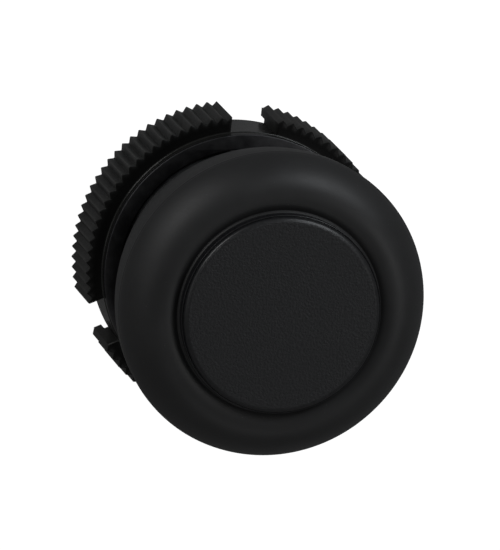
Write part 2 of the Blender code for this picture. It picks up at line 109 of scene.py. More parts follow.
NUT_REAR, NUT_FRONT = node_box("ring_nut")[1:]

BOOT_PART = 30.0                # height of the boot's parting line
BOOT_REAR_RADIUS = 17.35
BOOT_CREST_RADIUS = 14.3
BOOT_BORE = 15.15               # opening at the back, over the sleeve's collar
BOOT_SHOULDER_RADIUS = 16.95    # pulls the front's curve out from the crest
BOOT_SHOULDER_RISE = 1.2        # the side stays upright for about this height
BOOT_WALL = 1.4
BOOT_LIP_RADIUS = 12.62         # opening round the press cap
BOOT_LIP = 34.0
BOOT_BEAD = 12.28               # radius of the bead that closes the gap behind the cap's rim
BOOT_FOLD_START = 25.0          # behind this height the boot stays on the sleeve
BOOT_FOLD_END = 33.6            # in front of this height it moves with the button
CAP_WALL = 12.2                 # radius of the press face with its rounded edge
CAP_LEDGE = 35.4                # height of the narrow ledge round the face
CAP_RIM = 34.3                  # back of the press cap's rim
CAP_HOLE = 1.75                 # the screw's hole, in the cap's boss
TOOTH_TIP = 19.2
TOOTH_ROOT = 18.65
TOOTH_FRONT = 11.7              # front of the sectors, a little behind the hub's front
HUB_FRONT_RADIUS = 17.1
TEETH = 91
TOOTH_PHASE = radians(0.3)
HUB_RADIUS = 17.2
HUB_BORE = 15.3
NUT_WEB = 5.2
RIM_INNER = 17.7
SLOT_WIDTH = 5.7
SLOT_ANGLES = (86.6, 203.0, 325.0)  # degrees from +X to each slot's centre
THREAD_PITCH = 1.5
THREAD_CREST = 14.98
THREAD_DEPTH = 0.75
SLEEVE_BORE = 11.2
KEYWAY_FLOOR = 13.65
KEYWAY_WIDTH = 3.4
KEYWAY_END = 20.0
THREAD_TOP = 20.4


# ---------------------------------------------------------------- how it is seen, in metres

VIEW_BACK = Vector((-0.2322, 0.2374, 0.9433)).normalized()   # from the part towards the camera
VIEW_UP = Vector((1, 0, 0)).cross(-VIEW_BACK).normalized()
VIEW_RIGHT = VIEW_UP.cross(VIEW_BACK)
CAMERA_LENS = 654.5             # millimetres, on the sensor below
CAMERA_SENSOR = 36.0
CAMERA_REACH = 20.0
CAMERA_DISTANCE = 1.2178        # from the middle of the boot
CAMERA_SHIFT_UP = 3.48 * MM
CAMERA_SHIFT_LEFT = 2.60 * MM
LIGHT_TARGET = Vector((0, 0, 0.02))
LIGHT_DISTANCE = 0.9
COOL = (0.92, 0.96, 1.0)
FLOOR_SIZE = 6.0
FLOOR_DROP = 0.00005            # keeps the floor clear of the part's rear face
FLOOR_BOUNCE = 0.01             # the floor's glow on the part, and as the camera sees it
FLOOR_SEEN = 0.97
FLOOR_GREY = (0.35, 0.35, 0.35, 1.0)
ROOM_GLOW = 0.13                # the room's light on the part, and as the camera sees it
ROOM_SEEN = 1.0
WHITE = (1.0, 1.0, 1.0, 1.0)


# ---------------------------------------------------------------- outlines

def arc(centre, radii, start, end, steps):
    """Points on an ellipse's arc between two angles."""
    swept = [start + (end - start) * i / steps for i in range(steps + 1)]
    return [(centre[0] + radii[0] * cos(a), centre[1] + radii[1] * sin(a)) for a in swept]


def bezier(corners, steps):
    """Points on the cubic curve that four corners control."""
    points = []
    for i in range(steps + 1):
        t = i / steps
        weights = ((1 - t) ** 3, 3 * t * (1 - t) ** 2, 3 * t * t * (1 - t), t ** 3)
        points.append(tuple(sum(w * c[k] for w, c in zip(weights, corners)) for k in range(2)))
    return points


def rounded(points, radius, steps=4, closed=True):
    """The outline with each corner replaced by a short curve. A point (x, y, r) has its own radius."""
    out = []
    count = len(points)
    for i, point in enumerate(points):
        here = Vector(point[:2])
        size = point[2] if len(point) > 2 else radius
        at_end = not closed and i in (0, count - 1)
        before = Vector(points[i - 1][:2]) - here
        after = Vector(points[(i + 1) % count][:2]) - here
        if at_end or size <= 0 or before.length < 1e-9 or after.length < 1e-9:
            out.append(tuple(here))
            continue
        size = min(size, 0.45 * before.length, 0.45 * after.length)
        start = here + before.normalized() * size
        stop = here + after.normalized() * size
        for k in range(steps + 1):
            t = k / steps
            spot = start * (1 - t) ** 2 + here * 2 * t * (1 - t) + stop * t ** 2
            out.append(tuple(spot))
    return out


# ---------------------------------------------------------------- mesh makers

def finish_mesh(name, shape, sharp=40):
    """A smooth-shaded object from a bmesh in millimetres."""
    bmesh.ops.scale(shape, vec=(MM, MM, MM), verts=shape.verts)
    bmesh.ops.recalc_face_normals(shape, faces=shape.faces)
    mesh = bpy.data.meshes.new(name)
    shape.to_mesh(mesh)
    shape.free()
    mesh.shade_smooth()
    mesh.set_sharp_from_angle(angle=radians(sharp))
    obj = bpy.data.objects.new(name, mesh)
    bpy.context.scene.collection.objects.link(obj)
    return obj


def grid_mesh(name, rows, columns, place, closed_rows=True, sharp=40):
    """A mesh of rows x columns quads, closed round the columns. place(row, column) gives a point."""
    shape = bmesh.new()
    corners = []
    for row in rows:
        first = place(row, 0)
        if sqrt(first[0] ** 2 + first[1] ** 2) < 1e-7:
            corners.append([shape.verts.new(first)] * columns)
        else:
            corners.append([shape.verts.new(place(row, c)) for c in range(columns)])
    pairs = len(rows) if closed_rows else len(rows) - 1
    for i in range(pairs):
        upper, lower = corners[i], corners[(i + 1) % len(rows)]
        for c in range(columns):
            d = (c + 1) % columns
            ring = [upper[c], lower[c], lower[d], upper[d]]
            face = [v for k, v in enumerate(ring) if v is not ring[k - 1]]
            shape.faces.new(face)
    return finish_mesh(name, shape, sharp)


def lathe(name, profile, steps=192, sharp=40):
    """Turn a profile of (radius, z). One that starts on the axis is open at both ends."""
    def place(row, column):
        angle = 2 * pi * column / steps
        return (row[0] * cos(angle), row[0] * sin(angle), row[1])
    return grid_mesh(name, profile, steps, place, profile[0][0] > 1e-9, sharp)


def plate(name, outline, holes, rear, front, edge):
    """A flat piece from an outline with holes, with rounded edges."""
    curve = bpy.data.curves.new(name, "CURVE")
    curve.dimensions = "2D"
    curve.fill_mode = "BOTH"
    curve.extrude = ((front - rear) / 2 - edge) * MM
    curve.bevel_depth = edge * MM
    curve.bevel_resolution = 2
    curve.offset = -edge * MM
    for loop in [outline] + holes:
        spline = curve.splines.new("POLY")
        spline.points.add(len(loop) - 1)
        for point, (x, y) in zip(spline.points, loop):
            point.co = (x * MM, y * MM, 0.0, 1.0)
        spline.use_cyclic_u = True
    draft = bpy.data.objects.new(name, curve)
    bpy.context.scene.collection.objects.link(draft)
    bpy.context.view_layer.update()
    evaluated = draft.evaluated_get(bpy.context.evaluated_depsgraph_get())
    mesh = bpy.data.meshes.new_from_object(evaluated)
    bpy.data.objects.remove(draft, do_unlink=True)
    shape = bmesh.new()
    shape.from_mesh(mesh)
    bpy.data.meshes.remove(mesh)
    bmesh.ops.remove_doubles(shape, verts=shape.verts, dist=1e-7)
    bmesh.ops.scale(shape, vec=(1 / MM, 1 / MM, 1 / MM), verts=shape.verts)
    bmesh.ops.translate(shape, vec=(0, 0, (front + rear) / 2), verts=shape.verts)
    return finish_mesh(name, shape, 35)


def circle(radius, steps=160, centre=(0.0, 0.0)):
    """Points once round a circle."""
    return arc(centre, (radius, radius), 0.0, 2 * pi * (steps - 1) / steps, steps - 1)


def cut(obj, tool):
    """Take one mesh out of another and drop the tool."""
    modifier = obj.modifiers.new("cut", "BOOLEAN")
    modifier.object = tool
    modifier.solver = "EXACT"
    bpy.context.view_layer.update()
    mesh = bpy.data.meshes.new_from_object(obj.evaluated_get(bpy.context.evaluated_depsgraph_get()))
    obj.modifiers.clear()
    old = obj.data
    obj.data = mesh
    bpy.data.meshes.remove(old)
    bpy.data.objects.remove(tool, do_unlink=True)


# ---------------------------------------------------------------- boot, cap and button

def boot_profile():
    """Crest, outer side, foot, then up the inside to the bead and the lip round the press cap."""
    seam = 0.14
    flash_out = 0.05
    flash_half = 0.04
    foot_step = BOOT_REAR + 1.15
    outer = bezier([(BOOT_CREST_RADIUS, BOOT_CREST), (BOOT_SHOULDER_RADIUS, BOOT_CREST),
                    (BOOT_RADIUS, BOOT_PART + BOOT_SHOULDER_RISE),
                    (BOOT_RADIUS, BOOT_PART + 1.5 * seam)], 30)
    flash = [(BOOT_RADIUS, BOOT_PART + seam), (BOOT_RADIUS + flash_out, BOOT_PART + flash_half),
             (BOOT_RADIUS + flash_out, BOOT_PART - flash_half), (BOOT_RADIUS, BOOT_PART - seam)]
    taper = BOOT_RADIUS - BOOT_REAR_RADIUS
    length = BOOT_PART - BOOT_REAR
    skirt = []
    for i in range(1, 20):
        down = i / 20
        skirt.append((BOOT_RADIUS - taper * (1 - cos(down * pi / 2)), BOOT_PART - length * down))
    foot = rounded([skirt[-1], (BOOT_REAR_RADIUS, BOOT_REAR, 0.35), (16.6, BOOT_REAR, 0.1),
                    (16.4, BOOT_REAR + 0.15, 0.1), (15.9, BOOT_REAR + 0.15, 0.1),
                    (15.7, BOOT_REAR, 0.1), (BOOT_BORE, BOOT_REAR, 0.2), (BOOT_BORE, foot_step, 0.2),
                    (16.2, foot_step, 0.1), (16.2, 25.6, 0.5), (17.3, 28.4)],
                   0.2, 4, closed=False)[1:]
    inner_side = BOOT_RADIUS - BOOT_WALL
    roof = BOOT_CREST - BOOT_WALL
    inside = bezier([(inner_side, BOOT_PART), (inner_side, BOOT_PART + BOOT_SHOULDER_RISE),
                     (BOOT_SHOULDER_RADIUS - BOOT_WALL, roof), (13.85, roof)], 18)
    bead_rear = 32.4
    bead_front = CAP_RIM - 0.1
    lip = rounded([inside[-1], (13.75, bead_rear, 0.3), (BOOT_BEAD, bead_rear, 0.25),
                   (BOOT_BEAD, bead_front, 0.06), (12.45, bead_front, 0.06),
                   (BOOT_LIP_RADIUS, BOOT_LIP, 0.05), (BOOT_LIP_RADIUS + 0.05, BOOT_LIP)],
                  0.2, 4, closed=False)[1:]
    slope = bezier([(BOOT_LIP_RADIUS + 0.1, BOOT_LIP), (BOOT_LIP_RADIUS + 0.4, BOOT_LIP + 0.2),
                    (BOOT_CREST_RADIUS - 0.8, BOOT_CREST), (BOOT_CREST_RADIUS, BOOT_CREST)], 18)[:-1]
    return outer + flash + skirt + foot + inside + lip + slope


def press_cap_profile():
    """A flat face with a round edge, a narrow ledge with an upturned rim, and the boss behind."""
    edge_width = 0.55
    edge_height = 0.50
    spigot_out = 8.3
    spigot_in = 7.2
    spigot_rear = 30.5
    boss = 3.6
    edge = arc((CAP_WALL - edge_width, CAP_FACE - edge_height), (edge_width, edge_height), pi / 2, 0.0, 10)
    ledge = [(CAP_WALL, CAP_LEDGE - 0.05, 0.04), (CAP_RADIUS - 0.05, CAP_LEDGE + 0.03, 0.01),
             (CAP_RADIUS, CAP_LEDGE, 0.01), (CAP_RADIUS, CAP_RIM, 0.15)]
    spigot = [(spigot_out, CAP_RIM, 0.1), (spigot_out, spigot_rear, 0.25),
              (spigot_in, spigot_rear, 0.25), (spigot_in, CAP_RIM, 0.3)]
    screw_boss = [(boss, CAP_RIM, 0.3), (boss, CAP_REAR, 0.2), (CAP_HOLE, CAP_REAR, 0.15),
                  (CAP_HOLE, 28.0, 0.3), (0.0, 28.6)]
    return rounded([(0.0, CAP_FACE)] + edge + ledge + spigot + screw_boss, 0.0, 6, closed=False)


def plunger_profile():
    """A flanged cup with a seal groove round it, a spring pocket behind, and a bored stem."""
    side, pocket, cup, stem, bore, hole = 10.9, 9.9, 8.6, 5.95, 3.4, 1.8
    flange_rear, side_rear, pocket_floor, bore_floor, cup_floor = 31.5, 12.2, 17.6, 14.8, 20.0
    groove, groove_front, groove_rear = 9.7, SEAL_FRONT + 0.25, SEAL_REAR - 0.25
    notch, notch_front, notch_rear = 5.1, CLIP_FRONT + 0.2, CLIP_REAR - 0.1
    outside = [(PLUNGER_FLANGE_RADIUS, PLUNGER_FRONT), (PLUNGER_FLANGE_RADIUS, flange_rear),
               (side, flange_rear, 0.3), (side, groove_front, 0.1), (groove, groove_front, 0.15),
               (groove, groove_rear, 0.15), (side, groove_rear, 0.1), (side, side_rear, 0.3)]
    behind = [(pocket, side_rear, 0.2), (pocket, pocket_floor, 0.3), (stem, pocket_floor, 0.3),
              (stem, notch_front, 0.1), (notch, notch_front, 0.1), (notch, notch_rear, 0.1),
              (stem, notch_rear, 0.08), (stem, STEM_REAR, 0.2)]
    inside = [(bore, STEM_REAR, 0.15), (bore, bore_floor, 0.3), (hole, bore_floor, 0.1),
              (hole, cup_floor, 0.1), (cup, cup_floor, 0.4), (cup, PLUNGER_FRONT, 0.2)]
    return rounded(outside + behind + inside, 0.2)


def pad_profile():
    """A plug with a slightly domed end and a small gate mark in its middle."""
    flange = 1.1
    gate = PAD_REAR + 0.15
    return rounded([(0.0, PAD_FRONT), (2.9, PAD_FRONT, 0.3), (3.1, flange, 0.05),
                    (PAD_RADIUS, flange, 0.1), (PAD_RADIUS, PAD_REAR + 0.12, 0.25),
                    (3.6, PAD_REAR, 0.5), (0.9, PAD_REAR, 0.1), (0.75, gate, 0.1), (0.0, gate)],
                   0.1, 4, closed=False)


def guide_profile():
    """A bush with a collar that centres the spring, and a shallow relief in its rear face."""
    bore, spigot, flange_front, relief = 6.25, 7.2, 6.0, 3.65
    return rounded([(spigot, GUIDE_TOP, 0.35), (spigot, flange_front, 0.15),
                    (GUIDE_RADIUS, flange_front, 0.2), (GUIDE_RADIUS, GUIDE_REAR, 0.2),
                    (10.4, GUIDE_REAR, 0.1), (10.2, relief, 0.1), (8.0, relief, 0.1),
                    (7.8, GUIDE_REAR, 0.1), (bore, GUIDE_REAR, 0.25), (bore, GUIDE_TOP, 0.3)], 0.1)


def ring_profile(inner, outer, rear, front, edge):
    """A plain ring's section, with its edges rounded."""
    return rounded([(outer, front), (outer, rear), (inner, rear), (inner, front)], edge)


def gasket_profile():
    """A flat rubber ring with three low sealing ribs on its rear face."""
    points = [(GASKET_RADIUS, GASKET_FRONT, 0.1), (GASKET_RADIUS, GASKET_REAR, 0.08)]
    for middle in (16.4, 15.95, 15.5):
        points += [(middle + 0.12, GASKET_REAR, 0.05), (middle + 0.06, GASKET_REAR + 0.08, 0.03),
                   (middle - 0.06, GASKET_REAR + 0.08, 0.03), (middle - 0.12, GASKET_REAR, 0.05)]
    return rounded(points + [(15.15, GASKET_REAR, 0.08), (15.15, GASKET_FRONT, 0.1)], 0.1, 3)


# ---------------------------------------------------------------- sleeve and its thread

def thread_wave(turns):
    """A truncated V: 1 on the crest and 0 in the root, for a position in pitches."""
    part = abs((turns % 1.0) * 2 - 1)
    return min(1.0, max(0.0, (part - 0.12) / 0.66))


def make_sleeve():
    """The sleeve with a helical thread on its neck and a parallel keyway along it."""
    step = THREAD_PITCH / 12
    columns = 288
    collar, relief = 13.4, 14.3
    flange_front, flange_rear = 24.6, 22.3
    fade_in, fade_out = 1.0, 0.8
    rows = rounded([(collar, SLEEVE_FRONT, 0.3), (collar, flange_front, 0.2),
                    (SLEEVE_FLANGE_RADIUS, flange_front, 0.4), (SLEEVE_FLANGE_RADIUS, flange_rear, 0.2),
                    (relief, flange_rear, 0.3), (relief, THREAD_TOP + 0.5, 0.2)], 0.2, 4, closed=False)
    rows = [(SLEEVE_BORE, SLEEVE_FRONT, 0.0)] + [(r, z, 0.0) for r, z in rows]
    for i in range(int(THREAD_TOP / step) + 1):
        z = THREAD_TOP - i * step
        fade = min(1.0, z / fade_in, (THREAD_TOP - z) / fade_out)
        rows.append((THREAD_CREST - THREAD_DEPTH, z, THREAD_DEPTH * max(fade, 0.0)))
    wide, groove, step_front = 12.0, 12.9, 6.2
    groove_rear, groove_front = RING_REAR - 0.2, RING_FRONT + 0.2
    inside = rounded([(13.9, SLEEVE_REAR), (wide, SLEEVE_REAR, 0.3), (wide, groove_rear, 0.05),
                      (groove, groove_rear, 0.05), (groove, groove_front, 0.05),
                      (wide, groove_front, 0.05), (wide, step_front, 0.1), (SLEEVE_BORE, step_front, 0.2),
                      (SLEEVE_BORE, SLEEVE_FRONT - 0.4)], 0.1, 4, closed=False)
    rows += [(r, z, 0.0) for r, z in inside]

    def place(row, column):
        base, z, lift = row
        angle = 2 * pi * column / columns
        radius = base + lift * thread_wave(z / THREAD_PITCH - column / columns)
        return (radius * cos(angle), radius * sin(angle), z)

    sleeve = grid_mesh("sleeve_moulding", rows, columns, place)
    cut(sleeve, keyway_tool())
    return sleeve


def keyway_tool():
    """A bar that stands in the keyway's place, at +Y."""
    half = KEYWAY_WIDTH / 2
    depth = 3.0
    shape = bmesh.new()
    outline = rounded([(-half, KEYWAY_FLOOR, 0.25), (half, KEYWAY_FLOOR, 0.25),
                       (half, KEYWAY_FLOOR + depth), (-half, KEYWAY_FLOOR + depth)], 0.0, 3)
    low = [shape.verts.new((x, y, SLEEVE_REAR - 1.0)) for x, y in outline]
    high = [shape.verts.new((x, y, KEYWAY_END)) for x, y in outline]
    count = len(outline)
    for i in range(count):
        shape.faces.new([low[i], low[(i + 1) % count], high[(i + 1) % count], high[i]])
    shape.faces.new(low)
    shape.faces.new(high)
    return finish_mesh("keyway_tool", shape)


# ---------------------------------------------------------------- ring nut

def make_ring_nut():
    """A serrated ring round a raised hub, relieved behind its web, then slotted."""
    per_tooth = 12
    columns = TEETH * per_tooth
    edge = 0.12
    softness = 0.02
    shallow = acos(1 - softness) / pi
    # each row on the outside: height, and how far its corner is rounded off
    front_edge = [(TOOTH_FRONT, edge), (TOOTH_FRONT - 0.35 * edge, 0.35 * edge),
                  (TOOTH_FRONT - edge, 0.0)]
    length = TOOTH_FRONT - NUT_REAR - 2 * edge
    flanks = [(NUT_REAR + edge + length * k / 6, 0.0) for k in range(5, 0, -1)]
    rear_edge = [(NUT_REAR + edge, 0.0), (NUT_REAR + 0.35 * edge, 0.35 * edge), (NUT_REAR, edge)]
    corner = 0.4
    outside = [("tooth", z, inset) for z, inset in front_edge + flanks + rear_edge]
    inside = rounded([(RIM_INNER + 0.5, NUT_REAR), (RIM_INNER, NUT_REAR, 0.15),
                      (RIM_INNER, NUT_WEB, 0.25), (HUB_RADIUS, NUT_WEB, 0.05),
                      (HUB_BORE, NUT_WEB, corner), (HUB_BORE, NUT_FRONT, corner),
                      (HUB_FRONT_RADIUS, NUT_FRONT, 0.12), (HUB_FRONT_RADIUS, TOOTH_FRONT, 0.15),
                      (HUB_FRONT_RADIUS + 1.0, TOOTH_FRONT)], 0.1, 4, closed=False)
    rows = outside + [(radius, z, 0.0) for radius, z in inside]

    def place(row, column):
        angle = TOOTH_PHASE + 2 * pi * column / columns
        radius, z, inset = row
        if radius == "tooth":
            wave = acos((1 - softness) * cos(2 * pi * column / per_tooth)) / pi
            wave = (wave - shallow) / (1 - 2 * shallow)
            radius = TOOTH_TIP - (TOOTH_TIP - TOOTH_ROOT) * wave - inset
        return (radius * cos(angle), radius * sin(angle), z)

    nut = grid_mesh("serrated_ring_nut", rows, columns, place, sharp=50)
    for angle in SLOT_ANGLES:
        cut(nut, slot_tool(radians(angle)))
    nut.data.set_sharp_from_angle(angle=radians(50))
    return nut


def slot_tool(turned):
    """A slot cutter with a round floor, whose sides flare a little at the mouth and at both faces."""
    flare = 0.18
    levels = [(NUT_REAR - 0.5, flare + 0.5), (NUT_REAR, flare), (NUT_REAR + flare, 0.0),
              (TOOTH_FRONT - flare, 0.0), (TOOTH_FRONT, flare), (NUT_FRONT + 0.5, flare + 0.5)]
    shape = bmesh.new()
    loops = []
    for z, wider in levels:
        half = SLOT_WIDTH / 2 + wider
        sweep = asin(half / HUB_RADIUS)
        floor = [(HUB_RADIUS * cos(a), HUB_RADIUS * sin(a))
                 for a in [-sweep + 2 * sweep * k / 20 for k in range(21)]]
        mouth = sqrt((TOOTH_TIP - flare) ** 2 - half ** 2)
        side = [(mouth, half), (mouth + 2 * flare, half + 2 * flare),
                (TOOTH_TIP + 1.5, half + 2 * flare)]
        outline = floor + side + [(x, -y) for x, y in reversed(side)]
        loops.append([shape.verts.new((x * cos(turned) - y * sin(turned),
                                       x * sin(turned) + y * cos(turned), z)) for x, y in outline])
    for low, high in zip(loops, loops[1:]):
        count = len(low)
        for i in range(count):
            shape.faces.new([low[i], low[(i + 1) % count], high[(i + 1) % count], high[i]])
    shape.faces.new(loops[0])
    shape.faces.new(loops[-1])
    return finish_mesh("slot_tool", shape)


# ---------------------------------------------------------------- washers, rings and clips

def washer_outlines():
    """The keyed washer: a round outline, and a bore with a tab that points inwards at +Y."""
    inner = 15.25
    tab_half = 1.4
    tab_end = 14.15
    reach = asin(tab_half / inner)
    bore = arc((0, 0), (inner, inner), pi / 2 + reach, 5 * pi / 2 - reach, 150)
    tab = rounded([bore[-1], (tab_half, tab_end, 0.25), (-tab_half, tab_end, 0.25), bore[0]],
                  0.1, 4, closed=False)[1:-1]
    return circle(WASHER_RADIUS), bore + tab


def retaining_ring_outline():
    """An internal spring ring, widest opposite its gap, with an eared end on each side of it."""
    gap = 2.4 / RING_RADIUS
    ear = 0.30
    ear_inner = 9.45
    ear_middle = 10.55
    ear_hole = 0.65
    outer = arc((0, 0), (RING_RADIUS, RING_RADIUS), pi / 2 + gap, 5 * pi / 2 - gap, 120)
    ear_in = arc((0, 0), (ear_inner, ear_inner), 5 * pi / 2 - gap, 5 * pi / 2 - gap - ear, 6)
    inner = []
    for i in range(101):
        angle = 5 * pi / 2 - gap - ear - 0.06 - (2 * pi - 2 * gap - 2 * ear - 0.12) * i / 100
        radius = RING_RADIUS - 1.25 - 0.5 * (1 - sin(angle)) / 2
        inner.append((radius * cos(angle), radius * sin(angle)))
    ear_out = arc((0, 0), (ear_inner, ear_inner), pi / 2 + gap + ear, pi / 2 + gap, 6)
    holes = []
    for side in (-1, 1):
        angle = pi / 2 + side * (gap + ear / 2)
        holes.append(circle(ear_hole, 24, (ear_middle * cos(angle), ear_middle * sin(angle))))
    return rounded(outer + ear_in + inner + ear_out, 0.12, 2), holes


def clip_outline():
    """A clip pushed on from one side: it grips the stem on three lugs, and opens at -Y."""
    mouth = radians(24)
    lugs = (radians(90), radians(-24), radians(204))
    outer = arc((0, 0), (CLIP_RADIUS, CLIP_RADIUS), -pi / 2 + mouth, 3 * pi / 2 - mouth, 100)
    inner = []
    for i in range(121):
        angle = 3 * pi / 2 - radians(36) - (2 * pi - radians(72)) * i / 120
        near = min(abs((angle - lug + pi) % (2 * pi) - pi) for lug in lugs)
        rise = min(1.0, max(0.0, (near - radians(13)) / radians(7)))
        radius = 5.3 + 1.35 * rise * rise * (3 - 2 * rise)
        inner.append((radius * cos(angle), radius * sin(angle)))
    return rounded(outer + inner, 0.15, 2)


def make_spring():
    """A coil with a closed turn at each end and smooth wire."""
    wire = 0.5
    mean = SPRING_RADIUS - wire
    turns = 5.25
    dead = 0.85
    low = SPRING_REAR + wire
    high = SPRING_FRONT - wire
    rise = 2.08 * wire * dead
    per_turn = 56
    sides = 14
    count = int(turns * per_turn)

    def centre(step):
        t = step / per_turn
        if t < dead:
            z = low + rise * t / dead
        elif t > turns - dead:
            z = high - rise * (turns - t) / dead
        else:
            share = (t - dead) / (turns - 2 * dead)
            z = low + rise + (high - low - 2 * rise) * share
        return Vector((mean * cos(2 * pi * t), mean * sin(2 * pi * t), z))

    shape = bmesh.new()
    rings = []
    for step in range(count + 1):
        spot = centre(step)
        outwards = Vector((spot.x, spot.y, 0)).normalized()
        rings.append([shape.verts.new(spot + outwards * wire * cos(2 * pi * k / sides)
                                      + Vector((0, 0, wire * sin(2 * pi * k / sides))))
                      for k in range(sides)])
    for one, two in zip(rings, rings[1:]):
        for k in range(sides):
            m = (k + 1) % sides
            shape.faces.new([one[k], one[m], two[m], two[k]])
    shape.faces.new(rings[0])
    shape.faces.new(rings[-1])
    return finish_mesh("coil_spring", shape, 60)


def make_screw():
    """A pan-head screw with a hexagonal socket and a fine thread."""
    head_front = 14.6
    shank = 1.45
    depth = 0.22
    pitch = 0.5
    socket = 1.45
    # each row: radius, height, depth of the thread there, and 1 where the section is hexagonal
    rows = [(0.0, SCREW_FRONT, 0, 0), (shank - 0.5, SCREW_FRONT, 0, 0),
            (shank - 0.25, SCREW_FRONT - 0.3, 0, 0)]
    steps = int((SCREW_FRONT - 0.4 - head_front - 0.6) / (pitch / 8))
    for i in range(steps):
        rows.append((shank - depth, SCREW_FRONT - 0.4 - i * pitch / 8, depth, 0))
    head = rounded([(shank - depth, head_front + 0.4), (shank, head_front, 0.1),
                    (SCREW_RADIUS, head_front, 0.15), (SCREW_RADIUS, SCREW_REAR, 0.7),
                    (socket + 0.3, SCREW_REAR)], 0.1, 4, closed=False)
    rows += [(r, z, 0, 0) for r, z in head]
    rows += [(socket, SCREW_REAR, 0, 1), (socket, SCREW_REAR + 1.3, 0, 1),
             (0.0, SCREW_REAR + 1.6, 0, 0)]
    columns = 96

    def place(row, column):
        radius, z, lift, flats = row
        angle = 2 * pi * column / columns
        radius += lift * thread_wave(z / pitch - column / columns)
        if flats:
            radius *= cos(pi / 6) / cos((angle % (pi / 3)) - pi / 6)
        return (radius * cos(angle), radius * sin(angle), z)

    return grid_mesh("socket_screw", rows, columns, place, closed_rows=False)


# ---------------------------------------------------------------- materials

class Shader:
    """A material's node tree, with short calls for the nodes that the looks here need."""

    def __init__(self, name):
        self.material = bpy.data.materials.new(name)
        self.material.use_nodes = True
        self.nodes = self.material.node_tree.nodes
        self.links = self.material.node_tree.links
        self.out = self.nodes["Principled BSDF"]
        self.place = self.add("ShaderNodeTexCoord").outputs["Object"]

    def add(self, kind, **settings):
        node = self.nodes.new(kind)
        for key, value in settings.items():
            setattr(node, key, value)
        return node

    def put(self, socket, value):
        if hasattr(value, "is_output"):
            self.links.new(value, socket)
        elif isinstance(value, tuple) and len(value) == 3 and socket.type == "RGBA":
            socket.default_value = (*value, 1.0)
        else:
            socket.default_value = value

    def noise(self, size_mm, detail=2.0, rough=0.5, stretch=None, vector=None):
        """Noise from 0 to 1 whose grains are about size_mm across."""
        where = vector or self.place
        if stretch:
            mapping = self.add("ShaderNodeMapping")
            self.put(mapping.inputs["Vector"], where)
            mapping.inputs["Scale"].default_value = stretch
            where = mapping.outputs["Vector"]
        node = self.add("ShaderNodeTexNoise")
        self.put(node.inputs["Vector"], where)
        node.inputs["Scale"].default_value = 1000 / size_mm
        node.inputs["Detail"].default_value = detail
        node.inputs["Roughness"].default_value = rough
        return node.outputs["Fac"]

    def specks(self, size_mm, share):
        """1 in scattered round specks and 0 between them. share is how many cells hold one."""
        cells = self.add("ShaderNodeTexVoronoi", feature="F1")
        self.put(cells.inputs["Vector"], self.place)
        cells.inputs["Scale"].default_value = 1000 / (size_mm * 6)
        near = self.math("LESS_THAN", cells.outputs["Distance"], 0.09)
        chosen = self.add("ShaderNodeSeparateColor")
        self.put(chosen.inputs["Color"], cells.outputs["Color"])
        return self.math("MULTIPLY", near, self.math("LESS_THAN", chosen.outputs["Red"], share))

    def math(self, operation, a, b=0.0, c=0.0):
        node = self.add("ShaderNodeMath", operation=operation)
        for socket, value in zip(node.inputs, (a, b, c)):
            self.put(socket, value)
        return node.outputs["Value"]

    def spread(self, value, low, high, to_low, to_high):
        """Carry low..high of a value to to_low..to_high, and hold it there outside."""
        node = self.add("ShaderNodeMapRange")
        for key, item in (("Value", value), ("From Min", low), ("From Max", high),
                          ("To Min", to_low), ("To Max", to_high)):
            self.put(node.inputs[key], item)
        return node.outputs["Result"]

    def mix(self, share, one, two):
        node = self.add("ShaderNodeMix", data_type="RGBA")
        self.put(node.inputs[0], share)
        self.put(node.inputs[6], one)
        self.put(node.inputs[7], two)
        return node.outputs[2]

    def radius(self):
        """Distance from the button's axis, in millimetres."""
        parts = self.add("ShaderNodeSeparateXYZ")
        self.put(parts.inputs[0], self.place)
        x, y = parts.outputs[0], parts.outputs[1]
        square = self.math("ADD", self.math("MULTIPLY", x, x), self.math("MULTIPLY", y, y))
        return self.math("MULTIPLY", self.math("SQRT", square), 1000.0)

    def height(self):
        """Height along the button's axis, in millimetres."""
        parts = self.add("ShaderNodeSeparateXYZ")
        self.put(parts.inputs[0], self.place)
        return self.math("MULTIPLY", parts.outputs[2], 1000.0)

    def bump(self, *layers):
        """Bumps laid over each other, each a (value, depth in millimetres) pair."""
        normal = None
        for value, depth in layers:
            node = self.add("ShaderNodeBump")
            self.put(node.inputs["Height"], value)
            node.inputs["Distance"].default_value = depth * MM
            if normal:
                self.put(node.inputs["Normal"], normal)
            normal = node.outputs["Normal"]
        self.put(self.out.inputs["Normal"], normal)

    def set(self, **values):
        names = {"colour": "Base Color", "rough": "Roughness", "metal": "Metallic",
                 "gloss": "Specular IOR Level", "sheen": "Sheen Weight", "skin": "Subsurface Weight",
                 "coat": "Coat Weight", "coat_rough": "Coat Roughness"}
        for key, value in values.items():
            self.put(self.out.inputs[names[key]], value)
        return self.material


def boot_rubber():
    """Satin rubber with a faint bloom, fine pores and a few grains of dust."""
    s = Shader("boot_rubber")
    bloom = s.noise(7.0, 4.0, 0.6)
    pores = s.noise(0.22, 3.0, 0.6)
    dust = s.specks(0.05, 0.035)
    colour = s.mix(s.spread(bloom, 0.35, 0.7, 0.0, 1.0),
                   (0.0160, 0.0162, 0.0167), (0.0200, 0.0202, 0.0208))
    colour = s.mix(s.math("MULTIPLY", dust, 0.6), colour, (0.20, 0.19, 0.18))
    rough = s.math("ADD", s.spread(bloom, 0.3, 0.7, 0.45, 0.52), s.spread(pores, 0.3, 0.7, -0.03, 0.03))
    s.bump((pores, 0.0030), (s.noise(1.6, 2.0), 0.010))
    return s.set(colour=colour, rough=rough, gloss=0.45)


